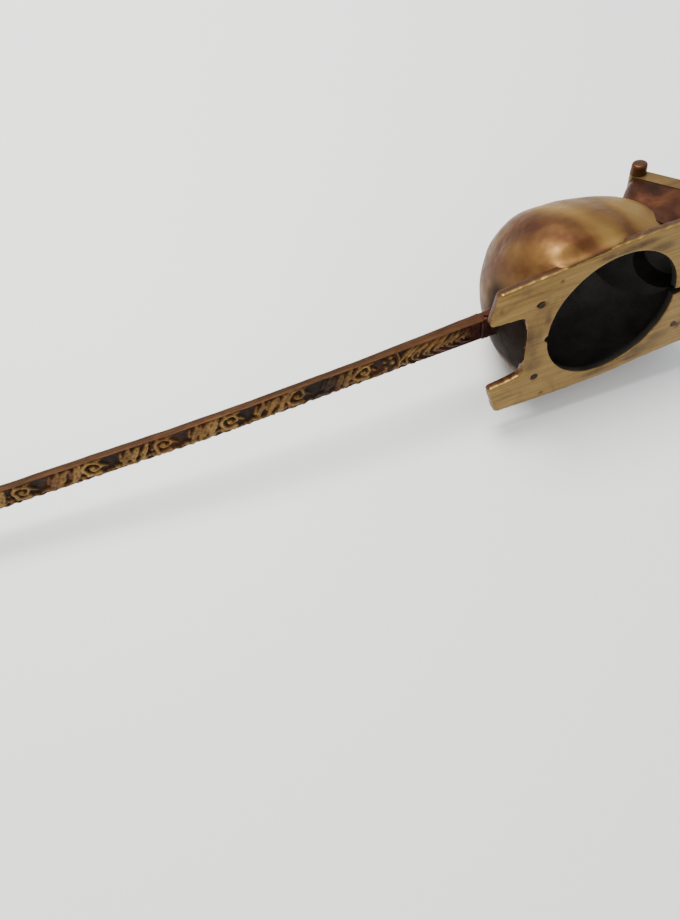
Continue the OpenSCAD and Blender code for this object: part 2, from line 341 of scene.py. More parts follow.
def mesh_piece(name, verts_mm, faces, mats, body, nodes=(), attrs=None):
    """A piece from points in the own frame, in mm."""
    me = bpy.data.meshes.new(name)
    me.from_pydata((np.asarray(verts_mm, float) * MM).tolist(), [], [list(map(int, f)) for f in faces])
    me.validate()
    for key, values in (attrs or {}).items():
        a = me.attributes.new(key, "FLOAT", "POINT")
        a.data.foreach_set("value", np.asarray(values, np.float32))
    return as_piece(name, me, mats, body, nodes)


def face_outwards(me):
    bm = bmesh.new()
    bm.from_mesh(me)
    bmesh.ops.recalc_face_normals(bm, faces=bm.faces)
    bm.to_mesh(me)
    bm.free()


def declare(obj, body, nodes):
    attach(obj, body)
    if nodes:
        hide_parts(*nodes)


def as_piece(name, me, mats, body, nodes=()):
    face_outwards(me)
    for m in mats:
        me.materials.append(m)
    me.polygons.foreach_set("use_smooth", [True] * len(me.polygons))
    obj = bpy.data.objects.new(name, me)
    bpy.context.scene.collection.objects.link(obj)
    obj.matrix_world = OWN
    PIECES.append(obj)
    if body:
        declare(obj, body, nodes)
    return obj


def sharpen(obj, degrees):
    """Smooth shading that keeps real edges."""
    me = obj.data
    bm = bmesh.new()
    bm.from_mesh(me)
    limit = math.radians(degrees)
    for e in bm.edges:
        e.smooth = not (len(e.link_faces) == 2 and e.calc_face_angle(0) > limit)
    bm.to_mesh(me)
    bm.free()


def grid_faces(rows, cols, wrap=False):
    i = np.arange(rows - 1)[:, None]
    j = np.arange(cols if wrap else cols - 1)[None, :]
    k = (j + 1) % cols
    return np.stack([i * cols + j, i * cols + k, (i + 1) * cols + k, (i + 1) * cols + j], -1).reshape(-1, 4)


def loft(sections):
    """Closed rings of the same count, joined; the ends are closed with fans."""
    s = np.asarray(sections, float)
    rows, cols = s.shape[:2]
    v = s.reshape(-1, 3)
    f = grid_faces(rows, cols, True).tolist()
    a, b = len(v), len(v) + 1
    v = np.vstack([v, s[0].mean(0), s[-1].mean(0)])
    for j in range(cols):
        k = (j + 1) % cols
        f.append([a, k, j])
        f.append([b, (rows - 1) * cols + j, (rows - 1) * cols + k])
    return v, f


def super_ring(half_a, half_b, power, count):
    t = np.linspace(0, 2 * np.pi, count, endpoint=False)
    c, s = np.cos(t), np.sin(t)
    return np.sign(c) * np.abs(c) ** (2 / power) * half_a, np.sign(s) * np.abs(s) ** (2 / power) * half_b


def revolve(profile, count):
    """Points (radius, station) turned about +Z; radius 0 ends close to a point."""
    v, f = [], []
    rings = []
    for r, z in profile:
        if r < 1e-6:
            rings.append([len(v)])
            v.append((0, 0, z))
        else:
            rings.append(list(range(len(v), len(v) + count)))
            t = np.linspace(0, 2 * np.pi, count, endpoint=False)
            v += [(r * math.cos(a), r * math.sin(a), z) for a in t]
    for a, b in zip(rings, rings[1:]):
        for j in range(count):
            k = (j + 1) % count
            if len(a) == 1 and len(b) == 1:
                continue
            if len(a) == 1:
                f.append([a[0], b[j], b[k]])
            elif len(b) == 1:
                f.append([a[j], b[0], a[k]])
            else:
                f.append([a[j], b[j], b[k], a[k]])
    return np.array(v, float), f


def apply_modifiers(obj):
    bpy.context.view_layer.update()
    dg = bpy.context.evaluated_depsgraph_get()
    me = bpy.data.meshes.new_from_object(obj.evaluated_get(dg))
    obj.modifiers.clear()
    old = obj.data
    obj.data = me
    bpy.data.meshes.remove(old)


def cut(obj, cutter, kind="DIFFERENCE"):
    """Boolean with a throwaway mesh, applied."""
    m = obj.modifiers.new("cut", "BOOLEAN")
    m.operation = kind
    m.solver = "EXACT"
    m.object = cutter
    apply_modifiers(obj)
    bpy.data.objects.remove(cutter)


def tool(verts, faces):
    me = bpy.data.meshes.new("tool")
    me.from_pydata((np.asarray(verts) * MM).tolist(), [], [list(map(int, f)) for f in faces])
    face_outwards(me)
    o = bpy.data.objects.new("tool", me)
    bpy.context.scene.collection.objects.link(o)
    o.matrix_world = OWN
    return o


def bevelled(obj, width_mm, segments, angle):
    m = obj.modifiers.new("bevel", "BEVEL")
    m.width = width_mm * MM
    m.segments = segments
    m.limit_method = "ANGLE"
    m.angle_limit = math.radians(angle)
    m.harden_normals = False
    apply_modifiers(obj)


def ease(t):
    t = np.clip(t, 0, 1)
    return t * t * (3 - 2 * t)


def wave_noise(P, seed, size, layers=5):
    """Smooth repeatable noise in about -1..1 from sums of sines, for small irregularities."""
    r = np.random.RandomState(seed)
    out = np.zeros(len(P))
    for _ in range(layers * 3):
        k = r.normal(size=3)
        k /= np.linalg.norm(k)
        out += np.sin(P @ k * (2 * np.pi / size) * r.uniform(0.6, 1.7) + r.uniform(0, 6.28))
    return out / math.sqrt(layers * 3)


# ---------------------------------------------------------------- places from the CAD

BOWL_LO, BOWL_HI = own_box("bowl_shell")
STRIP_LO, STRIP_HI = own_box("handle_strip")
HINGE = own_point(JOINT["lid_hinge"]["pos_m"])
EYE = own_point(JOINT["ring_swing"]["pos_m"])
EYE_AXIS = np.array(INV.to_3x3() @ Vector(JOINT["ring_swing"]["axis"]).normalized())

BOWL_R = (BOWL_HI[1] - BOWL_LO[1]) / 2
BOWL_MID = np.array([-8.6, 0, -10.4])
TAIL, NOSE = 15.2, 33.6  # the egg's half lengths behind and before its middle
WALL = 2.2
CUT_Z = -0.14  # the bowl ends this far under the filed face

LEAN = math.radians(30)  # of the front plate; NOUT is its outward normal, MDOWN runs down it
NOUT = np.array([math.cos(LEAN), 0, -math.sin(LEAN)])
MDOWN = np.array([math.sin(LEAN), 0, math.cos(LEAN)])
AXIS_Y = np.array([0, 1.0, 0])
HINGE_N, HINGE_M = float(HINGE @ NOUT), float(HINGE @ MDOWN)
FRONT = HINGE_N + 1.3
SLAB_T = 3.4
SLAB_W = own_box("front_plate")[1][1]
KNUCKLE_R = 1.8
SLAB_TOP = HINGE_M - KNUCKLE_R
SLAB_BOTTOM = 11.3
MOUTH_R = 6.5
MOUTH_M = 1.0
LID_LIFT = 0.15
LID_CROWN = 2.6


def front_point(n, y, m):
    return np.asarray(n)[..., None] * NOUT + np.asarray(y)[..., None] * AXIS_Y + np.asarray(m)[..., None] * MDOWN


def plate_edge(x, side):
    """Half width of the filed face's edge at station x; side is +1 above and -1 below."""
    if side > 0:
        return np.interp(x, [-30, -24, -17, -10, -3, 4, 12, 18, 24, 30],
                         [16.9, 17.3, 17.7, 18.2, 18.75, 19.0, 18.95, 18.6, 18.2, 17.6])
    return np.interp(x, [-30, -22, -14, -8, -2, 4, 10, 16, 24, 30],
                     [17.9, 18.4, 18.8, 19.0, 19.1, 18.9, 18.3, 17.9, 17.7, 17.4])


camera()
world()
DOME = mat_dome()
INSIDE_SHADE = mat_inside_shade()
FILED = mat_filed()
RELIEF = mat_relief()
BROWN = mat_brown()
DARK = mat_brown("dark_brass", "86613c", "59402a", "33221a")
LIDMAT = mat_brown("lid_brass", "bb9963", "96744a", "5e4228", (0.62, 0.58, 0.52))
FILED_FRONT = mat_filed("filed_front", False, (0.42, 0.37, 0.32))

# ---------------------------------------------------------------- bowl


def on_egg(x, deg):
    """A point on the egg at station x; 0 degrees is up out of the plate, 90 is +Y."""
    u = (x - BOWL_MID[0]) / (TAIL if x < BOWL_MID[0] else NOSE)
    rad = BOWL_R * math.sqrt(max(0, 1 - u * u))
    a = math.radians(deg)
    return np.array([x, rad * math.sin(a), BOWL_MID[2] + rad * math.cos(a)])


def smooth_path(points, count=28):
    p = np.array(points, float)
    t = np.linspace(0, len(p) - 1, count)
    k = np.clip(t.astype(int), 0, len(p) - 2)
    w = (t - k)[:, None]
    q = [p[max(0, i - 1)] for i in k], [p[i] for i in k], [p[i + 1] for i in k], [p[min(len(p) - 1, i + 2)] for i in k]
    a, b, c, d = map(np.array, q)
    return 0.5 * ((2 * b) + (c - a) * w + (2 * a - 5 * b + 4 * c - d) * w ** 2 + (3 * b - a - 3 * c + d) * w ** 3)


# hollows of the cast form: path of (station, degrees), width, depth, and how much the hollow is darkened and reddened:
# reddish colour with painted shade
HOLLOWS = [
    ([(-19, 118), (-14.4, 100), (-12.4, 88), (-9.9, 77), (-7.2, 68), (-4.5, 58)], 2.0, 0.16, 0.9),
    ([(-4, 135), (1.7, 113), (2.3, 95), (3.6, 82), (3.6, 72), (3.1, 60)], 1.9, 0.2, 0.66),
    ([(9, 142), (14, 124), (16.5, 104), (18, 80)], 2.0, 0.26, 0.35),
    ([(-14, 168), (-9, 146), (-6.5, 130)], 2.2, 0.28, 0.5),
]
# ridges: the same columns; the negative last value paints a highlight along each ridge
RIDGES = [
    ([(-9, 115), (-6.7, 102), (-4.8, 91), (-3.6, 79), (-1.9, 69), (-0.2, 57)], 2.1, 0.13, -0.5),
    ([(8.5, 112), (9.5, 90), (10.5, 76), (10, 66)], 3.6, 0.15, -0.46),
]


def sculpt(P):
    """Hollows and ridges on both flanks, for points on the egg, with reddish painted shade in the hollows and a painted
    highlight along the ridges.
    """
    push = np.zeros(len(P))
    tone_and_painted_light = 0.38 - 0.008 * P[:, 0]
    for sign, group in ((-1, HOLLOWS), (1, RIDGES)):
        for path, width, depth, colour in group:
            for side in (1, -1):
                q = np.array([on_egg(x, side * a) for x, a in smooth_path(path)])
                if side < 0:
                    q = q + np.array([0.8, 0, 0.5])
                d = np.sqrt(((P[:, None] - q[None]) ** 2).sum(-1)).min(1)
                g = np.exp(-(d / width) ** 2)
                push += sign * depth * g
                # painted shade darkens the hollows; painted highlight lightens the ridges
                tone_and_painted_light += colour * g * (0.42 if sign < 0 else 0.6)
    return push, tone_and_painted_light


def build_bowl():
    rows, cols = 230, 380
    st = np.linspace(-1, 1, rows)[1:-1]
    a = st * np.pi / 2
    x = BOWL_MID[0] + np.sin(a) * np.where(a < 0, TAIL, NOSE)
    rad = BOWL_R * np.cos(a)
    th = np.linspace(0, 2 * np.pi, cols, endpoint=False)
    X = np.repeat(x[:, None], cols, 1)
    Y = rad[:, None] * np.sin(th)
    Z = BOWL_MID[2] + rad[:, None] * np.cos(th)
    P = np.stack([X, Y, Z], -1).reshape(-1, 3)
    tail = np.array([[BOWL_MID[0] - TAIL, 0, BOWL_MID[2]]])
    nose = np.array([[BOWL_MID[0] + NOSE, 0, BOWL_MID[2]]])
    P = np.vstack([P, tail, nose])
    normal = P - BOWL_MID
    normal[:, 0] /= np.where(normal[:, 0] < 0, (TAIL / BOWL_R) ** 2, (NOSE / BOWL_R) ** 2)
    normal /= np.linalg.norm(normal, axis=1, keepdims=True)
    push, tone_and_painted_light = sculpt(P)
    push -= 0.12 * ease((np.abs(P[:, 1]) - 19.5) / 2)
    push += 0.05 * wave_noise(P, 3, 9) + 0.02 * wave_noise(P, 4, 2.6)
    push = np.minimum(push, 0.3)
    # where the surface faces one of the box's sides, it stays inside the CAD's own extremes
    facing = np.abs(normal @ np.array(OWN.to_3x3()).T).max(axis=1)
    push = np.minimum(push, 0.3 * (1 - ease((facing - 0.86) / 0.06)) - 0.05)
    P = P + normal * push[:, None]
    # the shoulder draws in to the edge of the filed face
    side = np.sign(P[:, 1])
    edge = np.where(side > 0, plate_edge(P[:, 0], 1), plate_edge(P[:, 0], -1)) + 0.12
    near = ease((P[:, 2] + 4.4) / 4.2) * (np.abs(P[:, 1]) > 9)
    wide = np.abs(P[:, 1])
    inward = np.where(P[:, 0] > -21, near, 0)
    P[:, 1] = side * (wide + (edge - wide) * inward * np.where(wide > edge, 1.0, 0.0))
    # a dark grime line along the seam under the plate's edge, and painted shade on the dome where it shows through the
    # plate's notch by the handle
    grime_and_shade = 0.6 * np.exp(-((P[:, 2] + 0.25) / 0.4) ** 2) * (wide > 9)
    notch_shade = ease((-P[:, 0] - 16.5) / 5) * (1 - ease((wide - 7.5) / 5)) * (1 - ease((-P[:, 2] - 11) / 7))
    grime_and_shade = np.maximum(grime_and_shade, 0.95 * notch_shade)
    tone_and_painted_light = tone_and_painted_light + 0.1 * wave_noise(P, 9, 16)
    faces = grid_faces(rows - 2, cols, True).tolist()
    n = (rows - 2) * cols
    for j in range(cols):
        k = (j + 1) % cols
        faces.append([n, k, j])
        faces.append([n + 1, (rows - 3) * cols + j, (rows - 3) * cols + k])
    me = bpy.data.meshes.new("bowl")
    me.from_pydata((P * MM).tolist(), [], faces)
    for key, val in (("tone_and_painted_light", tone_and_painted_light), ("grime_and_shade", grime_and_shade)):
        me.attributes.new(key, "FLOAT", "POINT").data.foreach_set("value", val.astype(np.float32))
    bm = bmesh.new()
    bm.from_mesh(me)
    slice_off(bm, (0, 0, CUT_Z), (0, 0, 1))
    slice_off(bm, NOUT * (FRONT - SLAB_T - 0.02), NOUT)
    bmesh.ops.triangulate(bm, faces=[f for f in bm.faces if len(f.verts) > 4])
    bm.to_mesh(me)
    bm.free()
    bowl = as_piece("bowl", me, [DOME], None)
    # the hollow stops a wall short of the front plate
    hollow = egg_tool(WALL, 72, 144)
    bm = bmesh.new()
    bm.from_mesh(hollow.data)
    slice_off(bm, NOUT * (FRONT - SLAB_T - WALL), NOUT)
    bm.to_mesh(hollow.data)
    bm.free()
    cut(bowl, hollow)
    cut(bowl, mouth_tool(FRONT - SLAB_T - 13, FRONT - SLAB_T + 1))
    t = np.linspace(0, 2 * np.pi, 180, endpoint=False)
    rim_r = OPEN_R + 0.05
    rim = [np.c_[rim_r * np.cos(t), rim_r * np.sin(t), np.full(180, z)] for z in (-3.0, 1.0)]
    cut(bowl, tool(*loft(rim)))

    def hollow_face(c):
        c = c - BOWL_MID
        u = c[:, 0] / np.where(c[:, 0] < 0, TAIL - WALL, NOSE - WALL)
        return u ** 2 + (c[:, 1] ** 2 + c[:, 2] ** 2) / (BOWL_R - WALL) ** 2 < 1.02

    # the hollow, the mouth and the rim under the opening get the near-black inside material, painted shade
    paint_inside_shade_where(bowl, hollow_face)
    paint_inside_shade_where(bowl, in_mouth)
    paint_inside_shade_where(bowl, lambda c: (c[:, 2] > -3.5) & (np.hypot(c[:, 0], c[:, 1]) < OPEN_R + 0.3))
    declare(bowl, "censer", ("bowl_shell",))
    sharpen(bowl, 40)


def slice_off(bm, at_mm, normal):
    """Cuts away what lies past a plane, and closes the cut."""
    got = bmesh.ops.bisect_plane(bm, geom=bm.verts[:] + bm.edges[:] + bm.faces[:],
                                 plane_co=Vector(at_mm) * MM, plane_no=tuple(normal), clear_outer=True)
    bmesh.ops.edgenet_fill(bm, edges=[e for e in got["geom_cut"] if isinstance(e, bmesh.types.BMEdge)])


def egg_tool(inset, steps, count):
    """The bowl's egg, drawn in by inset all round, as a cutter."""
    a = np.linspace(-90, 90, steps + 1) * np.pi / 180
    prof = [(max((BOWL_R - inset) * math.cos(t), 0), math.sin(t) * ((TAIL if t < 0 else NOSE) - inset)) for t in a]
    prof[0], prof[-1] = (0, prof[0][1]), (0, prof[-1][1])
    v, f = revolve(prof, count)
    return tool(np.stack([v[:, 2] + BOWL_MID[0], v[:, 1], v[:, 0] + BOWL_MID[2]], -1), f)


def paint_inside_shade_where(obj, test):
    """Gives the near-black inside material, painted shade, to the faces whose middle (own frame, mm) passes the test.
    """
    me = obj.data
    if INSIDE_SHADE.name not in [m.name for m in me.materials]:
        me.materials.append(INSIDE_SHADE)
    slot = [m.name for m in me.materials].index(INSIDE_SHADE.name)
    c = np.zeros(len(me.polygons) * 3)
    me.polygons.foreach_get("center", c)
    old = np.zeros(len(me.polygons), np.int32)
    me.polygons.foreach_get("material_index", old)
    me.polygons.foreach_set("material_index", np.where(test(c.reshape(-1, 3) / MM), slot, old).astype(np.int32))


def in_mouth(c):
    """True inside the mouth's bore, behind the front plate's face."""
    off = np.hypot(c[:, 1], c @ MDOWN - MOUTH_M)
    return (off < MOUTH_R + 0.03) & (c @ NOUT < FRONT - 0.5)


def mouth_tool(n0, n1):
    t = np.linspace(0, 2 * np.pi, 72, endpoint=False)
    y, m = MOUTH_R * np.cos(t), MOUTH_M + MOUTH_R * np.sin(t)
    return tool(*loft([front_point(np.full(len(t), n), y, m) for n in (n0, n1)]))


# ---------------------------------------------------------------- base plate


def outline():
    """The filed face's outline, counter-clockwise, with softened corners and small dents."""
    lug, corner, notch_x, notch_w = 30.4, 28.5, 21.6, 8.5
    pts = [(x, plate_edge(x, 1)) for x in np.linspace(27.9, -27.9, 90)]
    pts += [(-corner + 0.1, plate_edge(-28, 1) - 0.5), (-lug + 0.15, notch_w + 1.5), (-lug + 0.6, notch_w + 0.75)]
    pts += [(-notch_x - 0.9, notch_w + 0.1), (-notch_x - 0.1, notch_w - 0.7), (-notch_x + 0.25, 2)]
    pts += [(-notch_x - 0.15, -4), (-notch_x - 0.3, -notch_w + 0.9), (-notch_x - 1.1, -notch_w + 0.05)]
    pts += [(-26, -notch_w - 0.45), (-lug + 0.5, -notch_w - 0.8), (-lug + 0.1, -notch_w - 1.7)]
    pts += [(-corner - 0.2, -plate_edge(-28, -1) + 0.6)]
    pts += [(x, -plate_edge(x, -1)) for x in np.linspace(-27.9, 27.9, 90)]
    pts += [(corner - 0.1, -plate_edge(28, -1) + 0.5), (lug - 0.1, -notch_w - 1.4), (lug - 0.6, -notch_w - 0.8)]
    pts += [(notch_x + 0.9, -notch_w), (notch_x + 0.1, -notch_w + 0.7), (notch_x, 0)]
    pts += [(notch_x + 0.1, notch_w - 0.7), (notch_x + 0.9, notch_w)]
    pts += [(lug - 0.6, notch_w + 0.8), (lug - 0.1, notch_w + 1.4), (corner - 0.1, plate_edge(28, 1) - 0.5)]
    p = resample(np.array(pts), 0.3)
    for _ in range(2):
        p = 0.25 * np.roll(p, 1, 0) + 0.5 * p + 0.25 * np.roll(p, -1, 0)
    n3 = np.c_[p, np.zeros(len(p))]
    nrm = normals_2d(p)
    return p + nrm * (0.035 * wave_noise(n3, 21, 3.2) + 0.03 * wave_noise(n3, 22, 1.1) - 0.05)[:, None]


def resample(p, step):
    q = np.vstack([p, p[:1]])
    s = np.r_[0, np.cumsum(np.linalg.norm(np.diff(q, axis=0), axis=1))]
    t = np.linspace(0, s[-1], int(s[-1] / step), endpoint=False)
    return np.c_[np.interp(t, s, q[:, 0]), np.interp(t, s, q[:, 1])]


def normals_2d(p):
    """Outward normals of a counter-clockwise loop."""
    d = np.roll(p, -1, 0) - np.roll(p, 1, 0)
    n = np.c_[d[:, 1], -d[:, 0]]
    return n / np.linalg.norm(n, axis=1, keepdims=True)


def opening():
    """The opening's loop, clockwise, with the nick at its tail end and the slit at its front end."""
    t = np.linspace(2 * np.pi, 0, 330, endpoint=False)
    r = np.full(len(t), OPEN_R)
    n3 = np.c_[np.cos(t), np.sin(t), t * 0] * OPEN_R
    r += 0.02 * wave_noise(n3, 31, 4)
    off = np.abs((t - np.pi + np.pi) % (2 * np.pi) - np.pi) * OPEN_R
    r += 0.75 * np.exp(-(off / 0.75) ** 4)
    off = np.minimum(t, 2 * np.pi - t) * OPEN_R
    r += 2.4 * np.exp(-(off / 0.72) ** 6)
    return np.c_[r * np.cos(t), r * np.sin(t)]


def inside_loop(p, loop):
    x, y = p[:, 0], p[:, 1]
    out = np.zeros(len(p), bool)
    a = loop
    b = np.roll(loop, -1, 0)
    for (x0, y0), (x1, y1) in zip(a, b):
        if y0 == y1:
            continue
        c = (y0 > y) != (y1 > y)
        out ^= c & (x < (x1 - x0) * (y - y0) / (y1 - y0) + x0)
    return out


# stains of the filed face: x, y, half lengths, strength, depth of the pit
STAINS = [
    (-20.4, 1.5, 2.2, 5.0, 0.6, 0.02), (-19.0, -6.0, 2.4, 2.6, 0.55, 0.02), (9.0, 14.3, 3.6, 1.3, 0.65, 0.0),
    (1.5, 16.9, 4.2, 0.9, 0.7, 0.0), (9.5, -14.8, 5.5, 1.7, 0.75, 0.02), (-1.0, -17.0, 5.0, 0.9, 0.75, 0.0),
    (-18.3, 10.8, 1.3, 0.55, 1.0, 0.35), (-18.6, -10.8, 0.85, 0.75, 1.0, 0.3), (-16.2, -17.1, 0.6, 0.5, 0.9, 0.2),
    (4.7, 17.0, 3.4, 0.9, 0.8, 0), (-3.7, 16.9, 2.6, 0.6, 0.7, 0), (-14.1, 15.1, 0.5, 0.4, 0.9, 0.12),
    (8.0, -16.6, 3.2, 0.8, 0.85, 0), (-0.8, -16.6, 2.6, 0.5, 0.8, 0), (14.5, -12.6, 2.8, 1.4, 0.6, 0),
    (-18.6, 1.4, 1.3, 3.2, 0.55, 0), (-16.4, 6.4, 0.9, 2.2, 0.6, 0), (-19.8, -2.6, 1.6, 1.6, 0.6, 0),
    (-20.5, -6.0, 1.2, 1.4, 0.4, 0), (-27.8, 12.8, 0.6, 0.9, 0.45, 0.05), (-25.0, -14.0, 2.4, 0.5, 0.4, 0),
    (18.7, 10.0, 1.4, 0.6, 0.6, 0.1), (19.6, -11.2, 0.8, 0.8, 0.8, 0.2), (25.5, 14.2, 2.2, 0.8, 0.5, 0),
]


def loop_edges(first, second):
    """Edges of two closed loops whose points follow each other."""
    return ([(i, (i + 1) % first) for i in range(first)]
            + [(first + i, first + (i + 1) % second) for i in range(second)])


def build_plate():
    out, hole = outline(), opening()
    n_out, n_hole = normals_2d(out), normals_2d(hole)
    inner_out, inner_hole = out - n_out * 0.3, hole - n_hole * 0.22
    step = 0.42
    gx, gy = np.meshgrid(np.arange(-30.5, 30.6, step), np.arange(-19.4, 19.5, step))
    gx[1::2] += step / 2
    g = np.c_[gx.ravel(), gy.ravel()]
    keep = inside_loop(g, inner_out - n_out * 0.22)
    keep &= ~inside_loop(g, inner_hole - n_hole * 0.22)
    g = g[keep]
    pts = np.vstack([inner_out, inner_hole, g])
    no, nh = len(out), len(hole)
    vv, _, ff, *_ = geometry.delaunay_2d_cdt([Vector(p) for p in pts], loop_edges(no, nh), [], 0, 1e-6)
    vv = np.array([tuple(v) for v in vv])
    ff = np.array(ff)
    mid = vv[ff].mean(1)
    ok = inside_loop(mid, inner_out) & ~inside_loop(mid, inner_hole)
    ff = ff[ok]
    z = 0.025 * wave_noise(np.c_[vv, vv[:, 0] * 0], 41, 9) - 0.03
    stain = np.zeros(len(vv))
    for x, y, a, b, s, depth in STAINS:
        g2 = np.exp(-(((vv[:, 0] - x) / a) ** 2 + ((vv[:, 1] - y) / b) ** 2) ** 1.5)
        stain = np.maximum(stain, s * g2)
        z -= depth * g2
    top = np.c_[vv, np.minimum(z, 0.0)]
    rings, sides = [top], [np.zeros(len(top))]
    stains, rims = [stain], [np.zeros(len(top))]
    faces = ff.tolist()
    total = len(top)
    # rounded edge, wall and underside for each loop; the first ring is the top's own border
    for loop, nrm, start, inset in ((out, n_out, 0, 0.3), (hole, n_hole, no, 0.22)):
        n = len(loop)
        last = list(range(start, start + n))
        zb = top[start:start + n, 2]
        steps = ((0.3 * inset, -0.07, 0.0, 1), (0.0, -0.28, 0.2, 1), (0.02, -0.8, 0.75, 0),
                 (0.04, -PLATE_T + 0.25, 0.9, 0), (0.2, -PLATE_T, 0.9, 0))
        for off, dz, side, rim in steps:
            ring = loop - nrm * off
            rings.append(np.c_[ring, zb * 0.4 + dz if dz > -1.9 else np.full(n, -PLATE_T)])
            sides.append(np.full(n, side if start == 0 else side * 0.6))
            rims.append(np.full(n, float(rim)))
            stains.append(np.full(n, 0.0))
            ids = list(range(total, total + n))
            total += n
            for i in range(n):
                k = (i + 1) % n
                faces.append([last[i], ids[i], ids[k], last[k]])
            last = ids
        if start == 0:
            under_out = last
        else:
            under_hole = last
    V = np.vstack(rings)
    # underside
    pu = V[under_out + under_hole][:, :2]
    v2, _, f2, ov, *_ = geometry.delaunay_2d_cdt([Vector(p) for p in pu], loop_edges(no, nh), [], 0, 1e-6)
    v2 = np.array([tuple(v) for v in v2])
    f2 = np.array(f2)
    mid = v2[f2].mean(1)
    f2 = f2[inside_loop(mid, pu[:no]) & ~inside_loop(mid, pu[no:])]
    under = under_out + under_hole
    back = [under[o[0]] if o else None for o in ov]
    for tri in f2:
        ids = [back[i] for i in tri]
        if None not in ids:
            faces.append(ids[::-1])
    piece = mesh_piece("base_plate_filed", V, faces, [FILED], "censer", ("base_plate",),
                       {"stain": np.concatenate(stains), "side": np.concatenate(sides), "rim": np.concatenate(rims)})
    # the opening's wall below its worn lip gets the near-black inside material, painted shade
    paint_inside_shade_where(piece, lambda c: (c[:, 2] < -0.4) & (c[:, 2] > -PLATE_T + 0.1)
               & (np.hypot(c[:, 0], c[:, 1]) < OPEN_R + 1.6))
    sharpen(piece, 50)


# ---------------------------------------------------------------- handle strip with its relief

STRIP_X1 = STRIP_LO[0]
ROOT_X = -27.0
STRIP_DEPTH = 9.2
HALF_W = STRIP_HI[1]


def face_z(x):
    run = -80 - x
    turn = np.clip(run, 0, 24)
    return -STRIP_DEPTH - math.tan(math.radians(2.3)) * (turn ** 2 / 48 + np.maximum(run - 24, 0))


def strip_thick(x):
    return 2.4 + 1.2 * np.maximum(0, 1 - (ROOT_X - x) / 40) ** 1.5


class Relief:
    """A height field over the strip, stamped with tapered strokes, dots and leaves."""

    def __init__(self, s, v):
        self.s, self.v = s, v
        self.h = np.zeros((len(s), len(v)))

    def stroke(self, points, w0, w1, height, vein=0.0, count=20, belly=0.0):
        p = smooth_path(points, count)
        t = np.linspace(0, 1, count)
        w = w0 + (w1 - w0) * t + belly * np.sin(np.pi * t)
        pad = w.max() + 0.1
        i0, i1 = np.searchsorted(self.s, [p[:, 0].min() - pad, p[:, 0].max() + pad])
        if i1 <= i0:
            return
        S, V = np.meshgrid(self.s[i0:i1], self.v, indexing="ij")
        d = np.sqrt((S[..., None] - p[:, 0]) ** 2 + (V[..., None] - p[:, 1]) ** 2) / w
        m = d.min(-1)
        shape = np.sqrt(np.clip(1 - m ** 2, 0, 1))
        shape *= 1 - vein * np.exp(-(m / 0.28) ** 2)
        self.h[i0:i1] = np.maximum(self.h[i0:i1], height * shape)

    def dot(self, s, v, r, height):
        self.stroke([(s, v), (s + 0.01, v)], r, r, height, count=2)


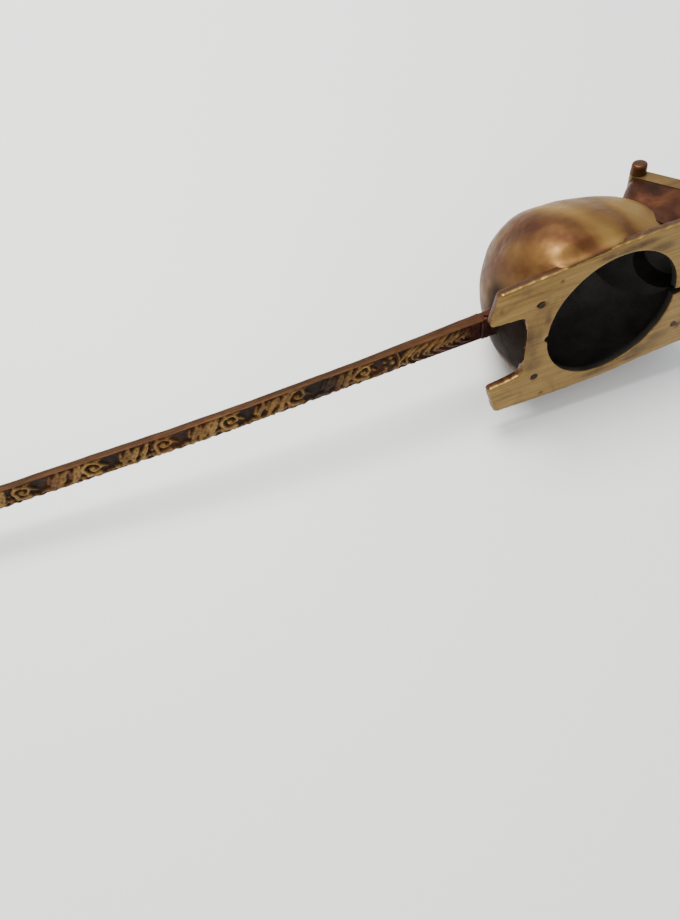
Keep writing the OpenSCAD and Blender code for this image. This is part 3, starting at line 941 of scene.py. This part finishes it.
def draw_relief(s, v):
    R = Relief(s, v)
    r = np.random.RandomState(11)
    # feathered palm leaf next to the bowl: a sharp midrib, barbs that lean along it
    R.stroke([(0.6, -0.6), (6, -0.35), (13, -0.5), (20.6, -1.3)], 0.24, 0.4, 1.0)
    for k in range(12):
        s0 = 5.0 + 1.4 * k
        base = -0.1 - 0.05 * k
        up, lo = min(2.8, 1.5 + 0.24 * k), max(-2.8, -1.7 - 0.12 * k)
        j = r.uniform(-0.45, 0.45, 6)
        R.stroke([(s0, base + 0.1), (s0 - 1.4 + j[0], 0.3 * up), (s0 - 2.6 + j[1], 0.62 * up),
                  (s0 - 4.0 + j[2], up + 0.3 * j[3])], 0.34, 0.16, 0.82 + 0.2 * j[4], 0.2, belly=0.2 + 0.3 * j[5])
        if k % 2:
            R.stroke([(s0 - 0.2, base - 0.5), (s0 - 1.6 + j[3], 0.6 * lo), (s0 - 3.4 + j[4], lo)],
                     0.4, 0.2, 0.55, 0.2, belly=0.2)
    # knot of buds between the palm leaf and the scrolls
    for ds, dv, rr in ((21.6, -1.9, 0.75), (22.2, 0.2, 0.8), (22.6, 1.9, 0.7),
                       (23.9, -0.7, 0.62), (24.2, 1.1, 0.6), (24.0, -2.2, 0.55)):
        R.dot(ds, dv, rr, 0.85)
    R.stroke([(21.0, 2.6), (20.6, 0.6), (21.2, -2.4)], 0.35, 0.35, 0.7)
    # running scroll with slanted leaves
    period = 15.7
    k = 0
    while True:
        a = 25.0 + k * period
        if a > s[-1] + 2:
            break
        j = lambda m=0.25: r.uniform(-m, m)
        # stem along the lower edge
        R.stroke([(a - 1, -1.5 + j(.1)), (a + 3, -2.2), (a + 7.2, -1.3 + j(.2)), (a + 11, -2.1),
                  (a + period - 0.5, -1.5)], 0.42, 0.5, 0.78)
        # volute
        c = np.array([a + 4.1 + j(), 0.55 + j(.12)])
        t = np.linspace(-0.6 * np.pi, 2.1 * np.pi, 12)
        rad = np.linspace(2.25, 0.5, 12)
        rad = rad * (1 + 0.12 * r.normal(size=12))
        R.stroke(np.c_[c[0] + rad * np.cos(t) * 1.2, c[1] + rad * np.sin(t) * 0.95],
                 0.62, 0.36, 0.95, 0.2, count=40)
        R.dot(c[0], c[1], 0.55, 0.95)
        # leaf lobes off the volute
        for q in range(4):
            b = 0.35 * np.pi + q * 0.34 * np.pi
            R.stroke([(c[0] + 2.1 * math.cos(b), c[1] + 1.9 * math.sin(b)),
                      (c[0] + 3.2 * math.cos(b + .25), c[1] + 2.6 * math.sin(b + .25))], 0.5, 0.25, 0.8, 0.2)
        # broad slanted leaves, leaning towards the far end as they rise
        for q in range(3):
            b = a + 7.7 + q * 2.3 + j(.4)
            tall = 2.75 - 0.3 * (q % 2) + j(.15)
            lean = 1.1 + j(.5)
            R.stroke([(b + lean + 0.6, -1.7 + j(.3)), (b + 0.7 + j(.3), -0.3), (b - 0.2 + j(.3), 1.2),
                      (b - lean + j(.3), tall)], 0.5, 0.24, 0.97 - 0.1 * (q % 3), 0.38, belly=0.5 + j(.12))
            R.stroke([(b + 2.1 + j(.2), -0.4 + j(.4)), (b + 1.5, 1.0), (b + 0.9 + j(.3), 2.2)],
                     0.34, 0.2, 0.66, belly=0.15)
            R.stroke([(b + 0.2 + j(.3), -2.6), (b + 1.3 + j(.3), -1.4)], 0.4, 0.25, 0.6)
        # scallops and buds along the lower edge
        for q in range(6):
            b = a + 0.6 + q * 2.6 + j(.3)
            R.stroke([(b + 1.0, -2.0), (b, -2.75)], 0.55, 0.4, 0.72)
        R.dot(a + 7.0 + j(.2), 2.2, 0.55, 0.8)
        R.dot(a + 6.8 + j(.2), 0.0, 0.42, 0.7)
        k += 1
    h = R.h
    S, V = np.meshgrid(s, v, indexing="ij")
    P = np.stack([S.ravel(), V.ravel(), 0 * S.ravel()], -1)
    rough = (0.09 * wave_noise(P, 51, 1.5) + 0.07 * wave_noise(P, 52, 0.8)).reshape(h.shape)
    h = h + rough * (0.4 + 0.6 * (h > 0.2))
    for _ in range(5):
        h = 0.5 * h + 0.125 * (np.roll(h, 1, 0) + np.roll(h, -1, 0) + np.roll(h, 1, 1) + np.roll(h, -1, 1))
    # worn flat on the highest parts
    h = np.where(h > 0.82, 0.82 + (h - 0.82) * 0.35, h)
    # smooth tongue at the root, a worn patch with flattened relief further out
    h *= ease((S - 1.0) / 3.0)
    wear = 0.45 * np.exp(-((S - 39) / 5.5) ** 2)
    h *= 1 - wear
    # the relief sinks into the strip's rounded edges
    h *= 0.3 + 0.7 * ease((V + 2.95) / 0.8) * ease((3.05 - V) / 0.5)
    return np.clip(h, 0, 1)


def build_strip():
    length = ROOT_X - STRIP_X1
    s = np.linspace(0, length, 1500)
    v = np.linspace(HALF_W - 0.12, -HALF_W + 0.12, 44)
    h = draw_relief(s, v[::-1])[:, ::-1]
    x = ROOT_X - s
    fz, th = face_z(x), strip_thick(x)
    depth = 0.85
    P1 = np.c_[s, np.zeros_like(s), np.zeros_like(s)]
    scallop = (0.09 * (0.5 + 0.5 * np.sin(s * 2 * np.pi / 2.62 + 0.8 * np.sin(s * 0.4))) ** 1.5
               + 0.16 * np.abs(wave_noise(P1, 61, 2.3)))
    scallop *= ease((s - 6) / 10)
    top_wave = 0.05 * wave_noise(P1, 62, 8) - 0.06
    sections, relief, plain, maroon, dark = [], [], [], [], []
    spread = np.linspace(0, 1, len(v))
    for i in range(len(s)):
        y_hi, y_lo = HALF_W + min(top_wave[i], 0), -HALF_W + scallop[i]
        ys = y_hi - 0.1 + (y_lo + 0.14 - (y_hi - 0.1)) * spread
        zs = fz[i] - depth * (1 - h[i])
        zs = zs + (fz[i] - 0.12 - zs) * np.exp(-((y_hi - ys) / 0.3) ** 2) * 0.9
        zb = fz[i] - th[i]
        lower = [(y_lo + 0.03, fz[i] - depth - 0.12 + 0.3 * h[i, -1]), (y_lo, fz[i] - depth - 0.4),
                 (y_lo + 0.05, zb + 0.45), (y_lo + 0.35, zb + 0.06)]
        back = [(y_lo + 0.9, zb), (0.5 * (y_lo + y_hi), zb), (y_hi - 0.9, zb), (y_hi - 0.35, zb + 0.04)]
        upper = [(y_hi - 0.06, zb + 0.35), (y_hi - 0.005, zb + 0.9), (y_hi, 0.5 * (fz[i] + zb)),
                 (y_hi - 0.01, fz[i] - 0.45), (y_hi - 0.04, fz[i] - 0.2)]
        yz = list(zip(ys, zs)) + lower + back + upper
        sections.append([(x[i], a, b) for a, b in yz])
        relief.append(list(h[i]) + [0.3, 0.25, 0.3, 0.35] + [0.4] * 4 + [0.5] * 5)
        edge = np.exp(-((y_hi - ys) / 0.22) ** 2) * 0.9
        plain.append(list(edge) + [0.25, 0.5, 0.6, 0.8] + [0.85] * 4 + [1] * 5)
        m = 1 - ease((s[i] - 1.6) / 5.5)
        low = np.clip((0.4 - ys) / 1.6, 0, 1) * (1 - ease((s[i] - 7) / 12)) * 0.75
        maroon.append(list(np.clip(m * np.clip((2.9 - ys) / 1.2, 0.2, 1) + low, 0, 1))
                      + [max(m, 0.6 * float(low[-1]))] * 4 + [0.5 * m] * 4 + [0.25 * m] * 5)
        # painted reflection: a dark patch where the worn, flattened part shows a dark reflection, and a fainter dark
        # patch further out
        dk = 0.78 * math.exp(-((s[i] - 39) / 5.0) ** 2) + 0.25 * math.exp(-((s[i] - 105) / 9) ** 2)
        dark.append(list(dk * np.clip(1.15 - 0.6 * h[i], 0, 1)) + [dk * 0.7] * 4 + [0.1] * 4 + [dk * 0.12] * 5)
    V, F = loft(sections)
    colours = (("relief", relief), ("plain", plain), ("maroon", maroon), ("dark", dark))
    attrs = {key: np.concatenate([np.ravel(val), [0.0, 0.0]]) for key, val in colours}
    piece = mesh_piece("handle_strip_relief", V, F, [RELIEF], "censer", ("handle_strip",), attrs)
    sharpen(piece, 70)


def build_socket():
    """The cast root that carries the strip into the bowl."""
    rings = []
    for t in np.linspace(0, 1, 26):
        x = -19.5 + (ROOT_X - 0.1 + 19.5) * t
        grow = ease((1 - t) / 0.9)
        a, b = super_ring(HALF_W - 0.1 + 1.3 * grow ** 2, (3.5 + 2.0 * grow ** 2) / 2, 5.5 - 2.5 * (1 - t), 64)
        zc = -STRIP_DEPTH - 0.1 - 1.75 - 0.3 * grow
        rings.append(np.c_[np.full(64, x), a, b + zc])
    for shrink in (0.12, 0.5):
        last = np.array(rings[-1])
        c = last.mean(0)
        ring = c + (last - c) * (1 - shrink * 0.25)
        ring[:, 0] = last[:, 0] - 0.1
        rings.append(ring)
    V, F = loft(rings)
    V[:, 1:] += (0.04 * wave_noise(V, 71, 1.8))[:, None]
    root = mat_brown("root_brass", "8a5a46", "5d3428", "381a14", (0.62, 0.55, 0.5))
    mesh_piece("handle_root", V, F, [root], "censer", ("handle_socket",), {"rim": np.zeros(len(V))})


# ---------------------------------------------------------------- collar, front plate, hinge, lid


def build_collar():
    n0, n1 = FRONT - SLAB_T - 11, FRONT - SLAB_T + 0.1
    rings, rims = [], []
    wide, tall = SLAB_W - 0.2, (SLAB_BOTTOM - SLAB_TOP) / 2 - 0.5
    mc = (SLAB_TOP + SLAB_BOTTOM) / 2
    for t in np.linspace(0, 1, 40):
        n = n0 + (n1 - n0) * t
        flare = ease((t - 0.12) / 0.88) ** 1.5
        hy = 16.7 + (wide - 16.7) * flare
        hm = 9.5 + (tall - 9.5) * flare
        a, b = super_ring(hy, hm, 2.6 + 7.5 * flare, 200)
        ring = front_point(np.full(200, n), a, mc + b)
        rings.append(ring)
        rims.append(np.full(200, 0.35 * float(t > 0.95)))
    V, F = loft(rings)
    V += 0.05 * wave_noise(V, 81, 4)[:, None] * np.array([0, 1, 0])
    V[:, 2] = np.minimum(V[:, 2], -0.6)
    piece = mesh_piece("collar_flare", V, F, [BROWN], "censer", ("front_collar",),
                       {"rim": np.concatenate(rims + [[0, 0]])})
    cut(piece, egg_tool(1.1, 48, 120))  # the collar ends within the bowl's wall
    cut(piece, mouth_tool(n0 - 2, n1 + 1))
    # painted shade: the mouth's bore through the collar gets the near-black inside material
    paint_inside_shade_where(piece, in_mouth)
    sharpen(piece, 40)


def rod(n, m, y0, y1, r, count=48):
    t = np.linspace(0, 2 * np.pi, count, endpoint=False)
    return [front_point(n + r * np.cos(t), np.full(count, y), m + r * np.sin(t)) for y in (y0, y1)]


def box_points(n0, n1, y0, y1, m0, m1):
    v = [front_point(n, y, m) for n in (n0, n1) for y in (y0, y1) for m in (m0, m1)]
    f = [[0, 1, 3, 2], [4, 6, 7, 5], [0, 4, 5, 1], [2, 3, 7, 6], [0, 2, 6, 4], [1, 5, 7, 3]]
    return np.array(v), f


def build_slab():
    v, f = box_points(FRONT - SLAB_T, FRONT, -SLAB_W, SLAB_W, SLAB_TOP + KNUCKLE_R, SLAB_BOTTOM)
    me = bpy.data.meshes.new("slab")
    me.from_pydata((v * MM).tolist(), [], f)
    piece = as_piece("front_slab", me, [FILED_FRONT], None)
    for s in (-1, 1):
        y0, y1 = sorted((s * 7.62, s * (SLAB_W - 0.002)))
        cut(piece, tool(*loft(rod(HINGE_N, HINGE_M, y0, y1, KNUCKLE_R))), "UNION")
    cut(piece, tool(*box_points(FRONT - SLAB_T - 1, FRONT + 2, -7.6, 7.6, SLAB_TOP - 1, HINGE_M + 3.2)))
    cut(piece, mouth_tool(FRONT - SLAB_T - 1, FRONT + 1))
    bevelled(piece, 0.28, 3, 35)
    for key in ("stain", "side", "rim"):
        piece.data.attributes.new(key, "FLOAT", "POINT")
    # painted shade: the mouth's bore through the front plate gets the near-black inside material
    paint_inside_shade_where(piece, in_mouth)
    declare(piece, "censer", ("front_plate",))
    sharpen(piece, 25)


def front_revolve(profile, count, n_base):
    """A turned form about the mouth's axis, along the front plate's outward normal."""
    v, f = revolve(profile, count)
    return front_point(n_base + v[:, 2], v[:, 0], MOUTH_M + v[:, 1]), f


def build_moulding():
    """Raised bead round the mouth."""
    section = ((0.05, -0.3), (0.05, 0.02), (0.12, 0.08), (0.3, 0.1),
               (0.5, 0.08), (0.62, 0.02), (0.62, -0.3), (0.05, -0.3))
    V, F = front_revolve([(MOUTH_R + r, z) for r, z in section], 120, FRONT)
    mesh_piece("mouth_bead", V, F, [LIDMAT], "censer", (), {"rim": np.ones(len(V))})


def build_hinge_pin():
    half = [(0.999, 18.0), (1.79, 18.01), (1.8, 18.3), (1.74, 18.8), (1.72, 19.5),
            (1.7, 19.9), (1.6, 20.2), (1.4, 20.34), (1.1, 20.39), (0, 20.4)]
    prof = [(r, -z) for r, z in reversed(half)] + half
    v, f = revolve(prof, 48)
    V = front_point(HINGE_N + v[:, 0], v[:, 2], HINGE_M + v[:, 1])
    pin = mat_brown("pin_brass", "a98360", "8d6648", "61412e", (0.62, 0.58, 0.55))
    mesh_piece("hinge_pin_headed", V, f, [pin], "censer", ("hinge_pin",), {"rim": np.zeros(len(V))})


def build_lid():
    flat = 7.0  # where the crown meets the flat rim
    lid_r = 8.6
    cap = (flat ** 2 + LID_CROWN ** 2) / (2 * LID_CROWN)
    half = math.asin(flat / cap)
    rows, cols = 46, 240
    th = np.linspace(0, 2 * np.pi, cols, endpoint=False)
    rings, rims = [], []
    # outer face: knob seat, gadrooned crown, groove and rim bead
    for i in range(rows):
        u = i / (rows - 1)
        rad = 0.9 + (flat - 0.9) * u
        z = (cap + 1.2) * math.cos(half * u) - (cap + 1.2) * math.cos(half) + 1.2
        lobes = 0.5 - 0.5 * np.abs(np.cos(8 * th)) ** 1.4
        env = ease((u - 0.18) / 0.3) * ease((1.0 - u) / 0.14)
        zz = z - 0.34 * env * lobes
        rings.append((rad, zz))
        rims.append(1.1 * env * (1 - 2 * lobes))
    v, f = [], []
    for rad, zz in rings:
        v.append(np.c_[rad * np.cos(th), rad * np.sin(th), zz])
    edge = [(flat + 0.18, 1.02, 0), (flat + 0.42, 1.0, 0), (flat + 0.6, 1.12, 1), (flat + 0.9, 1.24, 1),
            (flat + 1.2, 1.22, 1), (flat + 1.45, 1.08, 1), (lid_r, 0.8, 0.7),
            (lid_r, 0.25, 0), (lid_r - 0.2, 0.0, 0), (flat, 0.0, 0)]
    for rad, z, rim in edge:
        v.append(np.c_[rad * np.cos(th), rad * np.sin(th), np.full(cols, z)])
        rims.append(np.full(cols, float(rim)))
    for i in range(14, -1, -1):
        u = i / 14
        rad = 0.9 + (flat - 0.9) * u
        z = cap * math.cos(half * u) - cap * math.cos(half)
        v.append(np.c_[rad * np.cos(th), rad * np.sin(th), np.full(cols, z)])
        rims.append(np.zeros(cols))
    V = np.vstack(v)
    F = grid_faces(len(v) + 1, cols, True)
    F = F % len(V)
    P = front_point(FRONT + LID_LIFT + V[:, 2], V[:, 0], MOUTH_M + V[:, 1])
    piece = mesh_piece("lid_crown", P, F, [LIDMAT], "lid", ("front_lid",),
                       {"rim": np.clip(np.concatenate([np.ravel(r) for r in rims]), 0, 1)})
    top = np.array([p @ NOUT for p in P]).max()

    def underside(c):
        rad = np.hypot(c[:, 1], c @ MDOWN - MOUTH_M)
        z = c @ NOUT - FRONT - LID_LIFT
        inner = cap * np.cos(np.clip(half * (rad - 0.9) / (flat - 0.9), 0, half)) - cap * math.cos(half)
        return (rad < flat + 0.1) & (z < np.maximum(inner, 0) + 0.25) & (z < top)

    # painted shade: the lid's underside gets the near-black inside material
    paint_inside_shade_where(piece, underside)
    # tongue and knuckle
    v, f = box_points(FRONT + LID_LIFT + 0.02, FRONT + LID_LIFT + 1.18, -4, 4, HINGE_M, MOUTH_M - 7.2)
    me = bpy.data.meshes.new("tongue")
    me.from_pydata((v * MM).tolist(), [], f)
    tongue = as_piece("lid_tongue", me, [LIDMAT], None)
    cut(tongue, tool(*loft(rod(HINGE_N, HINGE_M, -7.33, 7.33, KNUCKLE_R, 56))), "UNION")
    cut(tongue, tool(*loft(rod(HINGE_N, HINGE_M, -9, 9, 1.05))))
    bevelled(tongue, 0.16, 2, 40)
    tongue.data.attributes.new("rim", "FLOAT", "POINT")
    declare(tongue, "lid", ())
    sharpen(tongue, 30)
    sharpen(piece, 50)


def build_knob():
    base = FRONT + LID_LIFT + LID_CROWN
    prof = [(0, -0.6), (0.95, -0.6), (0.98, 1.12), (1.95, 1.2), (2.02, 1.32), (2.02, 1.55), (1.9, 1.68),
            (1.35, 1.85), (1.08, 2.2), (0.98, 2.7), (1.0, 3.1), (1.3, 3.45), (1.66, 3.85), (1.86, 4.35),
            (1.88, 4.8), (1.75, 5.25), (1.45, 5.62), (1.0, 5.85), (0.45, 5.97), (0, 6.0)]
    V, F = front_revolve(prof, 72, base)
    rim = (np.linalg.norm(V - (NOUT * (base + 3.9) + MDOWN * MOUTH_M), axis=1) < 2.6) * 1.0
    mesh_piece("lid_knob_turned", V, F, [LIDMAT], "lid", ("lid_knob",), {"rim": rim})


def build_finial():
    """Sleeve with three bands over the strip's end, then a round eye."""
    e_y = AXIS_Y
    e_z = EYE_AXIS / np.linalg.norm(EYE_AXIS)
    e_x = np.cross(e_y, e_z)
    end = EYE + e_x * 6.5

    def at(a, b, c):
        return end + np.asarray(a)[..., None] * e_x + np.asarray(b)[..., None] * e_y + np.asarray(c)[..., None] * e_z

    # station, half width, half thickness, whether its edge is worn bright
    bands = [(4.0, 3.72, 1.86, 0), (3.92, 3.78, 1.95, 1), (3.6, 3.8, 1.99, 1), (3.1, 3.8, 1.99, 1),
             (2.85, 3.6, 1.8, 0), (2.0, 3.5, 1.72, 0), (1.75, 3.74, 1.92, 1), (1.45, 3.8, 1.98, 1),
             (1.15, 3.74, 1.92, 1), (0.9, 3.5, 1.72, 0), (-0.1, 3.4, 1.66, 0), (-0.35, 3.62, 1.86, 1),
             (-0.8, 3.7, 1.92, 1), (-1.2, 3.5, 1.8, 1), (-1.5, 3.1, 1.5, 0), (-2.2, 2.6, 1.32, 0),
             (-3.4, 2.7, 1.3, 0)]
    rings, rims = [], []
    for a, hy, hz, rim in bands:
        p, q = super_ring(hy, hz, 5.5, 72)
        rings.append(at(np.full(72, a), p, q))
        rims.append(np.full(72, float(rim)))
    V, F = loft(rings)
    sleeve = mesh_piece("finial_sleeve", V, F, [LIDMAT], "censer", ("handle_finial",),
                        {"rim": np.concatenate(rims + [[0, 0]])})
    sharpen(sleeve, 60)
    # eye: a rounded ring with a fine raised lip
    prof = [(2.34, -1.1), (2.3, -0.7), (2.3, 0.7), (2.34, 1.1), (2.55, 1.32), (2.85, 1.4), (3.1, 1.36),
            (3.3, 1.12), (3.7, 1.1), (4.1, 1.2), (4.4, 1.05), (4.56, 0.6), (4.6, 0.0), (4.56, -0.6),
            (4.4, -1.05), (4.1, -1.2), (3.7, -1.1), (3.3, -1.12), (3.1, -1.36), (2.85, -1.4), (2.55, -1.32)]
    v, _ = revolve(prof, 96)
    f = grid_faces(len(prof) + 1, 96, True) % len(v)
    V = EYE + v[:, :1] * e_x + v[:, 1:2] * e_y + v[:, 2:] * e_z
    rim = (np.abs(v[:, 2]) > 1.25) * 1.0
    eye = mesh_piece("finial_eye", V, f, [LIDMAT], "censer", (), {"rim": rim})
    sharpen(eye, 60)


def build_ring():
    """The hanging ring's wire, thinner at its closed seam."""
    src = np.array([INV @ v.co for v in frame["nodes"]["hanging_ring"].data.vertices]) / MM
    c = src.mean(0)
    q = src - c
    _, _, axes = np.linalg.svd(q, full_matrices=False)
    n = axes[2]
    u = axes[0]
    w = np.cross(n, u)
    rad = np.sqrt(((q @ u) ** 2 + (q @ w) ** 2))
    big = (rad.max() + rad.min()) / 2
    wire = (rad.max() - rad.min()) / 2
    t = np.linspace(0, 2 * np.pi, 160, endpoint=False)
    p = np.linspace(0, 2 * np.pi, 28, endpoint=False)
    toward = math.atan2((EYE - c) @ w, (EYE - c) @ u)
    seam = np.abs((t - (toward + np.pi) + np.pi) % (2 * np.pi) - np.pi) * big
    thick = wire * (0.99 - 0.16 * np.exp(-(seam / 0.22) ** 2))
    V = []
    for a, r in zip(t, thick):
        d = u * math.cos(a) + w * math.sin(a)
        V.append([c + d * (big + r * math.cos(b)) + n * r * math.sin(b) for b in p])
    V = np.array(V).reshape(-1, 3)
    F = grid_faces(len(t) + 1, len(p), True) % len(V)
    mesh_piece("hanging_ring_wire", V, F, [DARK], "ring", ("hanging_ring",), {"rim": np.zeros(len(V))})


for build in (build_bowl, build_plate, build_strip, build_socket, build_collar, build_slab, build_moulding,
              build_hinge_pin, build_lid, build_knob, build_finial, build_ring):
    build()

for name, mat in (("plate_pins", DARK), ("front_rivets", BROWN), ("handle_rivets", BROWN)):
    obj = frame["nodes"][name]
    obj.data.materials.clear()
    obj.data.materials.append(mat)

# every piece's place goes into its mesh, as on the CAD nodes
bpy.context.view_layer.update()
for piece in PIECES:
    piece.data.transform(OWN)
    piece.matrix_world = Matrix.Identity(4)

# ---------------------------------------------------------------- floor and lights

TABLE = 3  # half the table's side, m
me = bpy.data.meshes.new("table")
me.from_pydata([(-TABLE, -TABLE, 0), (TABLE, -TABLE, 0), (TABLE, TABLE, 0), (-TABLE, TABLE, 0)], [], [(0, 1, 2, 3)])
me.materials.append(mat_floor())
floor = bpy.data.objects.new("table", me)
bpy.context.scene.collection.objects.link(floor)

area_light("key", (-0.08, 0.36, 0.7), (0.0, 0.0, 0.0), 0.44, 14.2, (1.0, 0.99, 0.97))
area_light("fill", (-0.5, -0.5, 0.6), (0.0, 0.0, 0.0), 0.7, 1.5, (1.0, 0.96, 0.92))
